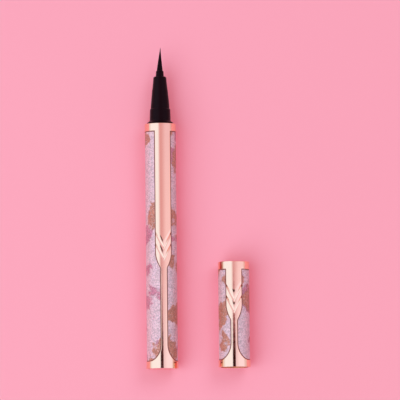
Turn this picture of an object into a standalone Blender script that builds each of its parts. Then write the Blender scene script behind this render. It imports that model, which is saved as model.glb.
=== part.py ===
"""Brush-tip eyeliner pen lying on its side, with its cap taken off and laid next to it.

The pen and the cap share one idea: a metallised shell pierced by two long windows, with a curved
decorated panel let into each window. What is left of the shell between the windows is the motif:
a broad strip with two chevron grooves, a leaf point, a thin stem and a foot that flares into the
end ring. Front and back carry the same motif.

Every piece is modelled upright round its own Z axis, tail or rim at zero and front towards -Y.
The two parent empties then lay the pen and the cap down along +Y.
"""

import math

import bmesh
import bpy

# Outside of the pen, in metres
BARREL_LENGTH = 0.0917
BARREL_RADIUS = 0.00588
SHELL_WALL = 0.0006
RING_HEIGHT = 0.0025
RING_PROUD = 0.00013
COLLAR_HEIGHT = 0.0029
COLLAR_LIP = 0.0010
EDGE_BREAK = 0.0002

# Clearances
FIT = 0.0003
BRUSH_SEAT = 0.0001
SNAP_FIT = 0.00025
TIP_CLEARANCE = 0.0010

# Windows in the shells, their panels, and the motif between them, measured round the surface
WINDOW_SILL = 0.00015
PANEL_SINK = 0.00008
STRIP_HALF_WIDTH = 0.00308
STEM_HALF_WIDTH = 0.00118
FOOT_REACH = 0.00497
FOOT_HEIGHT = 0.00635
LEAF_LENGTH = 0.0057
LEAF_BULGE = 1.7
PEN_STRIP_LENGTH = 0.0379
CAP_STRIP_LENGTH = 0.0056

# Chevron grooves, each from its ends at the strip's edges to its point; the share is how far down
# its width the groove is deepest
GROOVE_DEPTH = 0.00026
GROOVE_DEEPEST_SHARE = 0.58
GROOVE_END_WIDTH = 0.00145
GROOVE_POINT_WIDTH = 0.0021
CHEVRON_DROP = 0.0048
CHEVRON_PITCH = 0.0042
CHEVRON_COUNT = 2
LEAF_BELOW_CHEVRONS = 0.0078

# Black front of the pen, from the collar to the point
FLANGE_CLEARANCE = 0.00043
FLANGE_RIM = 0.00025
FLANGE_HEIGHT = 0.00105
FLANGE_REACH = 0.00092
BAND_LENGTH = 0.0042
BAND_TAPER = 0.00013
BAND_STEP = 0.00029
CONE_LENGTH = 0.0115
NOSE_WALL = 0.0006
NOSE_LAND = 0.00012
NOSE_ROUND = 0.0009
SPIGOT_LENGTH = 0.0110
HOLDER_RADIUS = 0.00152
HOLDER_TIP_RADIUS = 0.0014
HOLDER_REACH = 0.0021
HOLDER_SHANK = 0.0060
BRUSH_RADIUS = 0.00109
BRUSH_LENGTH = 0.0087
BRUSH_POINT_RADIUS = 0.00005
BRUSH_STEM_RADIUS = 0.00082
BRUSH_STEM_LENGTH = 0.0058

# Inside of the barrel
TUBE_WALL = 0.00073
FILM_WALL = 0.00015
FEED_RADIUS = 0.00085
FEED_DEPTH = 0.0120
BUTTON_THICKNESS = 0.0014
PLUG_FLANGE = 0.0010
PLUG_DEPTH = 0.0060
PLUG_BEAD = 0.00025
PLUG_BEAD_LENGTH = 0.0009

# Cap
CAP_HEADROOM = 0.01085
CAP_END_WALL = 0.0012
LINER_PARTITION = 0.0010
INNER_CAP_WALL = 0.0009
LINER_LEAD_IN = 0.0004

# Where the two lie
AXIS_SPACING = 0.0269
CAP_AHEAD = 0.0003
PEN_ROLL = math.radians(9.0)

# Cutting and joining
OVERRUN = 0.0005
WELD = 0.000001
ROUND_STEPS = 60
INNER_STEPS = 36
SMALL_STEPS = 24
SHARP_ANGLE = math.radians(32.0)
PANEL_COLUMNS = 12
FOOT_ROWS = 8
LEAF_ROWS = 5
GROOVE_COLUMNS = 8

# Cone of the grip, with its two ring steps: how far along it, and how much of the taper is gained by there
CONE_SHARES = ((0.0, 0.0), (0.14, 0.06), (0.635, 0.545), (0.65, 0.61), (0.83, 0.80), (0.84, 0.83), (0.92, 0.91))
# Brush: how far along it, and how much of its base radius is left there
BRUSH_SHARES = ((0.0, 1.0), (0.08, 0.96), (0.3, 0.73), (0.6, 0.42), (0.85, 0.17), (0.96, 0.07))

# Radii that follow from those sizes
RING_RADIUS = BARREL_RADIUS + RING_PROUD
SHELL_BORE = BARREL_RADIUS - SHELL_WALL
TUBE_RADIUS = SHELL_BORE - FIT
TUBE_BORE = TUBE_RADIUS - TUBE_WALL
SPIGOT_RADIUS = TUBE_BORE - FIT
FILM_RADIUS = TUBE_BORE - FIT
RESERVOIR_RADIUS = FILM_RADIUS - FILM_WALL - FIT
FLANGE_RADIUS = SHELL_BORE - FLANGE_CLEARANCE
BAND_RADIUS = FLANGE_RADIUS - FLANGE_REACH
CONE_RADIUS = BAND_RADIUS - BAND_TAPER - BAND_STEP
HOLDER_SOCKET = HOLDER_RADIUS + FIT
NOSE_RADIUS = HOLDER_SOCKET + NOSE_WALL
HOLDER_BORE = BRUSH_STEM_RADIUS + FIT
FEED_BORE = FEED_RADIUS + FIT
LINER_BORE = BAND_RADIUS + SNAP_FIT
LINER_RADIUS = SHELL_BORE - FIT
INNER_CAP_RADIUS = LINER_BORE - FIT
INNER_CAP_BORE = INNER_CAP_RADIUS - INNER_CAP_WALL

# Heights above the pen's tail
FLANGE_FOOT = BARREL_LENGTH + FIT
BAND_FOOT = FLANGE_FOOT + FLANGE_HEIGHT
CONE_FOOT = BAND_FOOT + BAND_LENGTH
NOSE_FOOT = CONE_FOOT + CONE_LENGTH
HOLDER_FOOT = NOSE_FOOT + NOSE_ROUND
BRUSH_FOOT = HOLDER_FOOT + HOLDER_REACH + BRUSH_SEAT
PEN_LENGTH = BRUSH_FOOT + BRUSH_LENGTH
PLUG_SEAT = BUTTON_THICKNESS + FIT + PLUG_FLANGE
TUBE_FOOT = PLUG_SEAT + FIT
TUBE_TOP = BARREL_LENGTH - COLLAR_LIP - FIT
SPIGOT_FOOT = BARREL_LENGTH - SPIGOT_LENGTH
RESERVOIR_FOOT = PLUG_SEAT + PLUG_DEPTH + FIT
RESERVOIR_TOP = SPIGOT_FOOT - FIT

# Heights above the cap's rim, with the cap pushed home a clearance short of the collar
SEAT = BARREL_LENGTH + FIT
LINER_FOOT = BAND_FOOT - SEAT + FIT
LIP_FOOT = CONE_FOOT + CONE_LENGTH * CONE_SHARES[-1][0] - SEAT + FIT
LIP_TOP = HOLDER_FOOT - SEAT + FIT
INNER_CAP_TOP = PEN_LENGTH - SEAT + TIP_CLEARANCE + INNER_CAP_WALL
CAP_LENGTH = PEN_LENGTH - SEAT + CAP_HEADROOM
LINER_TOP = CAP_LENGTH - CAP_END_WALL - FIT


def clear_scene():
    for item in list(bpy.data.objects):
        bpy.data.objects.remove(item, do_unlink=True)


def new_collection(name):
    collection = bpy.data.collections.new(name)
    bpy.context.scene.collection.children.link(collection)
    return collection


def new_material(name, colour, roughness, metallic=0.0):
    material = bpy.data.materials.new(name)
    material.use_nodes = True
    shader = material.node_tree.nodes["Principled BSDF"]
    shader.inputs["Base Color"].default_value = (*colour, 1.0)
    shader.inputs["Roughness"].default_value = roughness
    shader.inputs["Metallic"].default_value = metallic
    material.diffuse_color = (*colour, 1.0)
    return material


def new_axis(name, collection, place, roll):
    """Empty that lays a piece along +Y, with its front turned up and then rolled about its length."""
    axis = bpy.data.objects.new(name, None)
    axis.location = place
    axis.rotation_mode = "ZXY"
    axis.rotation_euler = (-math.pi / 2, 0.0, roll)
    collection.objects.link(axis)
    return axis


def new_object(name, mesh, collection, parent):
    item = bpy.data.objects.new(name, mesh)
    item.parent = parent
    collection.objects.link(item)
    return item


def turned(name, outline, steps, collection, parent):
    """Solid of revolution. The outline runs down the outer side; it closes on itself if it is a ring."""
    is_ring = outline[0][0] > 0.0
    count = len(outline)
    edges = [(i, i + 1) for i in range(count - 1)]
    if is_ring:
        edges.append((count - 1, 0))
    mesh = bpy.data.meshes.new(name)
    mesh.from_pydata([(radius, 0.0, height) for radius, height in outline], edges, [])
    item = new_object(name, mesh, collection, parent)
    screw = item.modifiers.new("turn", "SCREW")
    screw.angle = 2 * math.pi
    screw.steps = steps
    screw.render_steps = steps
    screw.use_merge_vertices = True
    screw.merge_threshold = WELD
    return item


def curved_sheet(name, rows, radius, thickness, collection, parent):
    """Sheet bent round the axis, thickened inwards; each row lists (distance round, height) places."""
    across = len(rows[0]) - 1
    up = len(rows) - 1
    sheet = bmesh.new()
    bmesh.ops.create_grid(sheet, x_segments=across, y_segments=up, size=1)
    for vertex in sheet.verts:
        column = round((vertex.co.x + 1) / 2 * across)
        row = round((vertex.co.y + 1) / 2 * up)
        angle, height = rows[row][column]
        vertex.co = (radius * math.sin(angle), -radius * math.cos(angle), height)
    mesh = bpy.data.meshes.new(name)
    sheet.to_mesh(mesh)
    sheet.free()
    item = new_object(name, mesh, collection, parent)
    skin = item.modifiers.new("thickness", "SOLIDIFY")
    skin.thickness = thickness
    skin.offset = -1.0
    return item


def as_cutter(item):
    item.hide_render = True
    item.display_type = "WIRE"
    return item


def cut(item, cutters):
    for cutter in cutters:
        boolean = item.modifiers.new("cut", "BOOLEAN")
        boolean.operation = "DIFFERENCE"
        boolean.solver = "EXACT"
        boolean.object = cutter


def settle(item, material):
    """Apply the modifiers, shade the round faces smooth and give the piece its material."""
    bpy.context.view_layer.update()
    depsgraph = bpy.context.evaluated_depsgraph_get()
    mesh = bpy.data.meshes.new_from_object(item.evaluated_get(depsgraph))
    mesh.name = item.name
    item.modifiers.clear()
    item.data = mesh
    mesh.shade_smooth()
    mesh.set_sharp_from_angle(angle=SHARP_ANGLE)
    mesh.materials.clear()
    mesh.materials.append(material)
    return item


def window_edge(window_top, strip_length, inset):
    """Half-width of the motif and height, row by row from the sill up, moved into the window by inset."""
    sill = RING_HEIGHT + WINDOW_SILL
    foot_top = sill + FOOT_HEIGHT
    leaf_top = window_top - strip_length - LEAF_BELOW_CHEVRONS
    edge = []
    for step in range(FOOT_ROWS + 1):
        turn = math.pi / 2 * (1 - step / FOOT_ROWS)
        reach = (FOOT_REACH - inset) * math.cos(turn)
        drop = (FOOT_HEIGHT - inset) * math.sin(turn)
        edge.append((STEM_HALF_WIDTH + FOOT_REACH - reach, foot_top - drop))
    for step in range(LEAF_ROWS + 1):
        share = step / LEAF_ROWS
        bulge = 1 - (1 - share) ** LEAF_BULGE
        width = STEM_HALF_WIDTH + (STRIP_HALF_WIDTH - STEM_HALF_WIDTH) * bulge
        edge.append((width + inset, leaf_top - LEAF_LENGTH * (1 - share)))
    edge.append((STRIP_HALF_WIDTH + inset, window_top - inset))
    return edge


def window_rows(window_top, strip_length, inset):
    """Places across a window from the front motif to the back one, as angles from the front."""
    rows = []
    for half_width, height in window_edge(window_top, strip_length, inset):
        start = half_width / BARREL_RADIUS
        span = math.pi - 2 * start
        rows.append([(start + span * column / PANEL_COLUMNS, height) for column in range(PANEL_COLUMNS + 1)])
    return rows


def wrapped_wedge(name, lines, collection, parent):
    """Bar of triangular section bent round the axis; each line lists (angle, height, radius) places."""
    across = len(lines[0]) - 1
    around = len(lines)
    wedge = bmesh.new()
    bmesh.ops.create_grid(wedge, x_segments=across, y_segments=around, size=1)
    for vertex in wedge.verts:
        column = round((vertex.co.x + 1) / 2 * across)
        line = round((vertex.co.y + 1) / 2 * around) % around
        angle, height, radius = lines[line][column]
        vertex.co = (radius * math.sin(angle), -radius * math.cos(angle), height)
    bmesh.ops.remove_doubles(wedge, verts=wedge.verts, dist=WELD)
    bmesh.ops.holes_fill(wedge, edges=wedge.edges)
    bmesh.ops.recalc_face_normals(wedge, faces=wedge.faces)
    mesh = bpy.data.meshes.new(name)
    wedge.to_mesh(mesh)
    wedge.free()
    return new_object(name, mesh, collection, parent)


def groove_lines(groove_end):
    """Lower, deepest and upper line of one chevron groove, run past both edges of the strip.

    The two slopes of the groove go on above the surface by as much again as below it.
    """
    half_span = STRIP_HALF_WIDTH + OVERRUN
    lower = []
    deepest = []
    upper = []
    for column in range(GROOVE_COLUMNS + 1):
        across = half_span * (2 * column / GROOVE_COLUMNS - 1)
        inward = 1 - abs(across) / STRIP_HALF_WIDTH
        width = GROOVE_END_WIDTH + (GROOVE_POINT_WIDTH - GROOVE_END_WIDTH) * inward
        upper_slope = width * GROOVE_DEEPEST_SHARE
        lower_slope = width - upper_slope
        floor = groove_end - CHEVRON_DROP * inward - upper_slope
        angle = across / BARREL_RADIUS
        lower.append((angle, floor - 2 * lower_slope, BARREL_RADIUS + GROOVE_DEPTH))
        deepest.append((angle, floor, BARREL_RADIUS - GROOVE_DEPTH))
        upper.append((angle, floor + 2 * upper_slope, BARREL_RADIUS + GROOVE_DEPTH))
    return [lower, deepest, upper]


def carve_motif(shell, window_top, strip_length, cutters, parent):
    """Cut two windows and the chevron grooves of both motifs into a shell."""
    tools = []
    through = RING_RADIUS + OVERRUN
    for side in range(2):
        name = f"{shell.name}_window_{side + 1}"
        rows = window_rows(window_top, strip_length, 0.0)
        window = curved_sheet(name, rows, through, through - SHELL_BORE + OVERRUN, cutters, parent)
        window.rotation_euler.z = math.pi * side
        tools.append(as_cutter(window))
        for number in range(CHEVRON_COUNT):
            name = f"{shell.name}_groove_{side + 1}_{number + 1}"
            lines = groove_lines(window_top - strip_length - CHEVRON_PITCH * number)
            groove = wrapped_wedge(name, lines, cutters, parent)
            groove.rotation_euler.z = math.pi * side
            tools.append(as_cutter(groove))
    cut(shell, tools)


def make_panels(prefix, window_top, strip_length, collection, parent, material):
    """Two curved panels, one for each window, each a clearance inside its window's edge."""
    for side, name in enumerate(("right", "left")):
        rows = window_rows(window_top, strip_length, FIT)
        radius = BARREL_RADIUS - PANEL_SINK
        panel = curved_sheet(
            f"{prefix}_panel_{name}", rows, radius, radius - SHELL_BORE, collection, parent
        )
        panel.rotation_euler.z = math.pi * side
        settle(panel, material)


def shell_outside(top):
    """Outer side of a shell, from its top edge down to the end ring."""
    return [
        (BARREL_RADIUS - EDGE_BREAK, top),
        (BARREL_RADIUS, top - EDGE_BREAK),
        (BARREL_RADIUS, RING_HEIGHT),
        (RING_RADIUS, RING_HEIGHT - RING_PROUD),
        (RING_RADIUS, EDGE_BREAK),
        (RING_RADIUS - EDGE_BREAK, 0.0),
    ]


def make_barrel_shell(collection, cutters, parent, material):
    outline = shell_outside(BARREL_LENGTH) + [
        (SHELL_BORE, 0.0),
        (SHELL_BORE, BARREL_LENGTH - COLLAR_LIP),
        (TUBE_BORE, BARREL_LENGTH - COLLAR_LIP),
        (TUBE_BORE, BARREL_LENGTH),
    ]
    shell = turned("barrel_shell", outline, ROUND_STEPS, collection, parent)
    carve_motif(shell, BARREL_LENGTH - COLLAR_HEIGHT, PEN_STRIP_LENGTH, cutters, parent)
    settle(shell, material)


def make_barrel_tube(collection, parent, material):
    outline = [
        (TUBE_RADIUS - EDGE_BREAK, TUBE_TOP),
        (TUBE_RADIUS, TUBE_TOP - EDGE_BREAK),
        (TUBE_RADIUS, TUBE_FOOT),
        (TUBE_BORE, TUBE_FOOT),
        (TUBE_BORE, TUBE_TOP),
    ]
    settle(turned("barrel_tube", outline, INNER_STEPS, collection, parent), material)


def make_grip_section(collection, parent, material):
    """Spigot, flange, band and cone in one moulding, with a through bore for the feed and the holder."""
    front = NOSE_FOOT + NOSE_ROUND
    mouth = HOLDER_SOCKET + NOSE_LAND
    nose = []
    for step in range(5):
        turn = math.pi / 2 * (1 - step / 4)
        radius = mouth + (NOSE_RADIUS - mouth) * math.cos(turn)
        nose.append((radius, NOSE_FOOT + NOSE_ROUND * math.sin(turn)))
    cone = []
    for along, gained in reversed(CONE_SHARES):
        radius = CONE_RADIUS + (NOSE_RADIUS - CONE_RADIUS) * gained
        cone.append((radius, CONE_FOOT + BAND_STEP + (CONE_LENGTH - BAND_STEP) * along))
    outline = nose + cone + [
        (BAND_RADIUS - BAND_TAPER, CONE_FOOT),
        (BAND_RADIUS, BAND_FOOT),
        (FLANGE_RADIUS - FLANGE_REACH * 2 / 3, FLANGE_FOOT + (FLANGE_HEIGHT + FLANGE_RIM) / 2),
        (FLANGE_RADIUS, FLANGE_FOOT + FLANGE_RIM),
        (FLANGE_RADIUS, FLANGE_FOOT),
        (SPIGOT_RADIUS, FLANGE_FOOT),
        (SPIGOT_RADIUS, SPIGOT_FOOT + EDGE_BREAK),
        (SPIGOT_RADIUS - EDGE_BREAK, SPIGOT_FOOT),
        (FEED_BORE, SPIGOT_FOOT),
        (FEED_BORE, HOLDER_FOOT - HOLDER_SHANK - FIT),
        (HOLDER_SOCKET, HOLDER_FOOT - HOLDER_SHANK - FIT),
        (HOLDER_SOCKET, front),
    ]
    settle(turned("grip_section", outline, INNER_STEPS, collection, parent), material)


def make_tip_holder(collection, parent, material):
    top = HOLDER_FOOT + HOLDER_REACH
    foot = HOLDER_FOOT - HOLDER_SHANK
    outline = [
        (HOLDER_TIP_RADIUS - EDGE_BREAK / 2, top),
        (HOLDER_TIP_RADIUS, top - EDGE_BREAK / 2),
        (HOLDER_RADIUS, HOLDER_FOOT),
        (HOLDER_RADIUS, foot),
        (HOLDER_BORE, foot),
        (HOLDER_BORE, top),
    ]
    settle(turned("tip_holder", outline, SMALL_STEPS, collection, parent), material)


def make_brush_tip(collection, parent, material):
    """Tapered bundle of fibres with its bound stem."""
    outline = [(0.0, PEN_LENGTH), (BRUSH_POINT_RADIUS, PEN_LENGTH - BRUSH_POINT_RADIUS)]
    for along, left in reversed(BRUSH_SHARES):
        outline.append((BRUSH_RADIUS * left, BRUSH_FOOT + BRUSH_LENGTH * along))
    stem_foot = BRUSH_FOOT - BRUSH_STEM_LENGTH
    outline += [(BRUSH_STEM_RADIUS, BRUSH_FOOT), (BRUSH_STEM_RADIUS, stem_foot), (0.0, stem_foot)]
    settle(turned("brush_tip", outline, SMALL_STEPS, collection, parent), material)


def make_feed_rod(collection, parent, material):
    """Wick that carries ink from the reservoir to the brush's stem."""
    top = BRUSH_FOOT - BRUSH_STEM_LENGTH - FIT
    foot = RESERVOIR_TOP - FEED_DEPTH
    outline = [
        (0.0, top),
        (FEED_RADIUS, top),
        (FEED_RADIUS, foot + FEED_RADIUS),
        (FEED_RADIUS / 2, foot),
        (0.0, foot),
    ]
    settle(turned("feed_rod", outline, SMALL_STEPS, collection, parent), material)


def make_ink_reservoir(collection, parent, material):
    """Fibre core with a blind hole for the feed."""
    hole_foot = RESERVOIR_TOP - FEED_DEPTH - FIT
    outline = [
        (0.0, hole_foot),
        (FEED_BORE, hole_foot),
        (FEED_BORE, RESERVOIR_TOP),
        (RESERVOIR_RADIUS, RESERVOIR_TOP),
        (RESERVOIR_RADIUS, RESERVOIR_FOOT),
        (0.0, RESERVOIR_FOOT),
    ]
    settle(turned("ink_reservoir", outline, INNER_STEPS, collection, parent), material)


def make_reservoir_film(collection, parent, material):
    outline = [
        (FILM_RADIUS, RESERVOIR_TOP),
        (FILM_RADIUS, RESERVOIR_FOOT),
        (FILM_RADIUS - FILM_WALL, RESERVOIR_FOOT),
        (FILM_RADIUS - FILM_WALL, RESERVOIR_TOP),
    ]
    settle(turned("reservoir_film", outline, INNER_STEPS, collection, parent), material)


def make_tail_plug(collection, parent, material):
    """Stopper that shuts the barrel tube, with two sealing beads."""
    top = PLUG_SEAT + PLUG_DEPTH
    shank = SPIGOT_RADIUS - PLUG_BEAD
    gap = (PLUG_DEPTH - 2 * PLUG_BEAD_LENGTH) / 3
    outline = [(0.0, top), (shank - EDGE_BREAK, top), (shank, top - EDGE_BREAK)]
    for number in (2, 1):
        bead_foot = PLUG_SEAT + gap * number + PLUG_BEAD_LENGTH * (number - 1)
        bead_top = bead_foot + PLUG_BEAD_LENGTH
        outline += [
            (shank, bead_top),
            (SPIGOT_RADIUS, bead_top - PLUG_BEAD_LENGTH / 3),
            (SPIGOT_RADIUS, bead_foot + PLUG_BEAD_LENGTH / 3),
            (shank, bead_foot),
        ]
    outline += [
        (shank, PLUG_SEAT),
        (TUBE_RADIUS, PLUG_SEAT),
        (TUBE_RADIUS, PLUG_SEAT - PLUG_FLANGE),
        (0.0, PLUG_SEAT - PLUG_FLANGE),
    ]
    settle(turned("tail_plug", outline, INNER_STEPS, collection, parent), material)


def make_tail_button(collection, parent, material):
    """Metallised disc that finishes the tail, flush with the end ring."""
    outline = [
        (0.0, BUTTON_THICKNESS),
        (TUBE_RADIUS, BUTTON_THICKNESS),
        (TUBE_RADIUS, EDGE_BREAK),
        (TUBE_RADIUS - EDGE_BREAK, 0.0),
        (0.0, 0.0),
    ]
    settle(turned("tail_button", outline, INNER_STEPS, collection, parent), material)


def make_cap_shell(collection, cutters, parent, material):
    roof = CAP_LENGTH - CAP_END_WALL
    outline = [(0.0, CAP_LENGTH)] + shell_outside(CAP_LENGTH) + [
        (SHELL_BORE, 0.0),
        (SHELL_BORE, roof),
        (0.0, roof),
    ]
    shell = turned("cap_shell", outline, ROUND_STEPS, collection, parent)
    carve_motif(shell, CAP_LENGTH - COLLAR_HEIGHT, CAP_STRIP_LENGTH, cutters, parent)
    settle(shell, material)


def make_cap_liner(collection, parent, material):
    """Inner sleeve that grips the pen's band, shut by a partition above the inner cap."""
    partition = INNER_CAP_TOP + FIT
    outline = [
        (LINER_RADIUS, LINER_TOP),
        (LINER_RADIUS, LINER_FOOT + EDGE_BREAK),
        (LINER_RADIUS - EDGE_BREAK, LINER_FOOT),
        (LINER_BORE + EDGE_BREAK, LINER_FOOT),
        (LINER_BORE, LINER_FOOT + LINER_LEAD_IN),
        (LINER_BORE, partition),
        (0.0, partition),
    ]
    outline = [(0.0, partition + LINER_PARTITION), (LINER_BORE, partition + LINER_PARTITION),
               (LINER_BORE, LINER_TOP)] + outline
    settle(turned("cap_liner", outline, INNER_STEPS, collection, parent), material)


def make_inner_cap(collection, parent, material):
    """Soft cup whose lip shuts over the nose of the grip, to keep the brush from drying."""
    lip = NOSE_RADIUS + (CONE_RADIUS - NOSE_RADIUS) * (1 - CONE_SHARES[-1][1]) + FIT
    roof = INNER_CAP_TOP - INNER_CAP_WALL
    outline = [
        (0.0, INNER_CAP_TOP),
        (INNER_CAP_RADIUS - EDGE_BREAK, INNER_CAP_TOP),
        (INNER_CAP_RADIUS, INNER_CAP_TOP - EDGE_BREAK),
        (INNER_CAP_RADIUS, LIP_FOOT),
        (lip + EDGE_BREAK, LIP_FOOT),
        (lip, LIP_FOOT + EDGE_BREAK),
        (lip, LIP_TOP),
        (INNER_CAP_BORE, LIP_TOP),
        (INNER_CAP_BORE, roof),
        (0.0, roof),
    ]
    settle(turned("inner_cap", outline, INNER_STEPS, collection, parent), material)


def main():
    clear_scene()
    parts = new_collection("eyeliner_pen")
    cutters = new_collection("cutters")

    rose_gold = new_material("rose_gold", (0.92, 0.58, 0.48), 0.12, 1.0)
    glitter = new_material("lilac_glitter", (0.66, 0.47, 0.58), 0.45, 0.2)
    black = new_material("black_plastic", (0.012, 0.008, 0.011), 0.35)
    bristle = new_material("black_bristle", (0.008, 0.007, 0.008), 0.6)
    tube_plastic = new_material("tube_plastic", (0.16, 0.04, 0.03), 0.5)
    ink_fibre = new_material("ink_fibre", (0.03, 0.03, 0.035), 0.9)
    film = new_material("clear_film", (0.75, 0.78, 0.80), 0.2)
    white_plastic = new_material("white_plastic", (0.82, 0.82, 0.80), 0.4)
    soft_plastic = new_material("soft_plastic", (0.70, 0.72, 0.72), 0.55)

    tail = -PEN_LENGTH / 2
    pen = new_axis("pen_axis", parts, (-AXIS_SPACING / 2, tail, RING_RADIUS), PEN_ROLL)
    cap = new_axis("cap_axis", parts, (AXIS_SPACING / 2, tail + CAP_AHEAD, RING_RADIUS), 0.0)

    make_barrel_shell(parts, cutters, pen, rose_gold)
    make_panels("barrel", BARREL_LENGTH - COLLAR_HEIGHT, PEN_STRIP_LENGTH, parts, pen, glitter)
    make_barrel_tube(parts, pen, tube_plastic)
    make_grip_section(parts, pen, black)
    make_tip_holder(parts, pen, black)
    make_brush_tip(parts, pen, bristle)
    make_feed_rod(parts, pen, ink_fibre)
    make_ink_reservoir(parts, pen, ink_fibre)
    make_reservoir_film(parts, pen, film)
    make_tail_plug(parts, pen, soft_plastic)
    make_tail_button(parts, pen, rose_gold)

    make_cap_shell(parts, cutters, cap, rose_gold)
    make_panels("cap", CAP_LENGTH - COLLAR_HEIGHT, CAP_STRIP_LENGTH, parts, cap, glitter)
    make_cap_liner(parts, cap, white_plastic)
    make_inner_cap(parts, cap, soft_plastic)


main()
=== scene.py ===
"""Looks of an eyeliner pen lying beside its cap.

Rose-gold shells pierced by long windows, glitter film let into the windows, a satin black grip and
a fine brush. Every piece is modelled upright round its own Z axis, tail or rim at zero and front
towards -Y, and is then laid along +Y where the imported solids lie.
"""

import math
from collections import namedtuple

import bmesh
import bpy
import numpy as np
from mathutils import Matrix, Vector


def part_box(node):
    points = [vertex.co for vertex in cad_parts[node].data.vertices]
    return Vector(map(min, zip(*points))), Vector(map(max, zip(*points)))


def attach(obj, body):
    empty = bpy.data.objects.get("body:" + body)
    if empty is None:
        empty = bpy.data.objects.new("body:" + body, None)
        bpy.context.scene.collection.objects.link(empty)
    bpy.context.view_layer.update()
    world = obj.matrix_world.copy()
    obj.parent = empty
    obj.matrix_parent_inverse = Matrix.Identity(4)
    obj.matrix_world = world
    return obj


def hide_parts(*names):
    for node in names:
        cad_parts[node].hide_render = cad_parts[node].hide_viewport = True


# Shells, in metres, as in the part's source
BARREL_LENGTH = 0.0917
BARREL_RADIUS = 0.00588
RING_RADIUS = 0.00601
SHELL_BORE = 0.00528
TUBE_BORE = 0.00425
TUBE_RADIUS = 0.00498
RING_HEIGHT = 0.0025
COLLAR_HEIGHT = 0.0029
COLLAR_LIP = 0.0010
END_OUTLINE_GAP = 0.0004
CAP_LENGTH = 0.0394
PEN_ROLL = math.radians(9.0)

# Windows and the motif between them, measured round the surface; the level rows are heights in the
# end ring, below the windows' sill
WINDOW_SILL = 0.00015
LEVEL_ROWS = (0.0024, 0.0022)
STRIP_HALF_WIDTH = 0.00308
STEM_HALF_WIDTH = 0.00118
FOOT_REACH = 0.00497
FOOT_HEIGHT = 0.00635
LEAF_LENGTH = 0.0057
LEAF_BULGE = 1.7
LEAF_BELOW_CHEVRONS = 0.0078
PEN_STRIP_LENGTH = 0.0379
CAP_STRIP_LENGTH = 0.0056
PANEL_GAP = 0.00006
PANEL_SINK = 0.00008
# Width of the band of painted shade round each film panel
PANEL_SHADE_BAND = 0.0004

# Chevron grooves, and how deep they are across their width from the upper edge to the lower one
GROOVE_DEPTH = 0.00026
GROOVE_END_WIDTH = 0.00145
GROOVE_POINT_WIDTH = 0.0021
CHEVRON_DROP = 0.0048
CHEVRON_PITCH = 0.0042
CHEVRON_COUNT = 2
GROOVE_SECTION = (
    (-0.05, 0.0), (0.0, 0.03), (0.05, 0.1), (0.3, 0.52), (0.52, 0.9), (0.58, 0.96),
    (0.64, 0.88), (0.8, 0.48), (0.95, 0.12), (1.0, 0.035), (1.05, 0.0), (1.12, 0.0),
)

# Roundings that the solids leave sharp; how far the flat beside one is held level, and the room that
# this needs, are multiples of the rounding
EDGE_ROUND = 0.00016
RIM_ROUND = 0.0002
PANEL_ROUND = 0.00004
EDGE_HOLD = 1.4
EDGE_HOLD_ROOM = 1.5
RING_BLEND_FOOT = 0.0026
RING_BLEND_TOP = 0.0034
RING_BLEND_INNER = math.radians(44.0)
RING_BLEND_OUTER = math.radians(62.0)

# Black front of the pen
FIT = 0.0003
SPIGOT_LENGTH = 0.0110
SPIGOT_RADIUS = 0.00395
FLANGE_RADIUS = 0.00485
FLANGE_RIM = 0.00025
FLANGE_HEIGHT = 0.00105
FLANGE_REACH = 0.00092
FLARE_BEND = 2 / 3
BAND_RADIUS = 0.00393
BAND_LENGTH = 0.0042
BAND_TAPER = 0.00013
BAND_STEP = 0.00029
CONE_RADIUS = 0.00351
CONE_LENGTH = 0.0115
NOSE_RADIUS = 0.00242
NOSE_ROUND = 0.0009
NOSE_SHOULDER = 0.2
NOSE_LAND = 0.00012
SOCKET_RADIUS = 0.00182
SOCKET_DEPTH = 0.0063
FEED_BORE = 0.00115
HOLDER_RADIUS = 0.00152
HOLDER_TIP_RADIUS = 0.0014
HOLDER_BORE = 0.00112
HOLDER_REACH = 0.0021
HOLDER_SHANK = 0.0060
BRUSH_SEAT = 0.0001
BRUSH_RADIUS = 0.00109
BRUSH_LENGTH = 0.0087
BRUSH_LEAN = 0.0003
LEAN_POWER = 1.5
BUTTON_THICKNESS = 0.0014

# (share of the length, share of the narrowing) up the cone, and (share of the length, share of the
# foot's radius) up the brush
CONE_SHARES = (
    (0.0, 0.0), (0.14, 0.06), (0.635, 0.545), (0.65, 0.61), (0.83, 0.80), (0.84, 0.83), (0.92, 0.91),
)
BRUSH_SHARES = (
    (0.0, 1.0), (0.08, 0.96), (0.3, 0.73), (0.6, 0.42), (0.85, 0.17), (0.96, 0.07), (1.0, 0.03),
)

# Roundings of the black front
FINE_ROUND = 0.00005
STEP_ROUND = 0.0001
HOLDER_ROUND = 0.00012
SOFT_ROUND = 0.0002
SHOULDER_ROUND = 0.0004

# Fibres of the brush; lengths in metres, and else shares or radians
FIBRE_THICKNESS = 0.00007
MIDDLE_FIBRE_THICKNESS = 0.00009
FIBRE_TAPER = 0.85
FIBRE_SHORTFALL = 0.12
FIBRE_SCATTER = 0.2
FIBRE_SWAY = 0.05
INNER_REACH = 0.8
BRUSH_CORE_SHARE = 0.92
BRUSH_CORE_END = 0.97
BRUSH_SEED = 11

FLANGE_FOOT = BARREL_LENGTH + FIT
BAND_FOOT = FLANGE_FOOT + FLANGE_HEIGHT
CONE_FOOT = BAND_FOOT + BAND_LENGTH
NOSE_FOOT = CONE_FOOT + CONE_LENGTH
HOLDER_FOOT = NOSE_FOOT + NOSE_ROUND
BRUSH_FOOT = HOLDER_FOOT + HOLDER_REACH + BRUSH_SEAT

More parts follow.
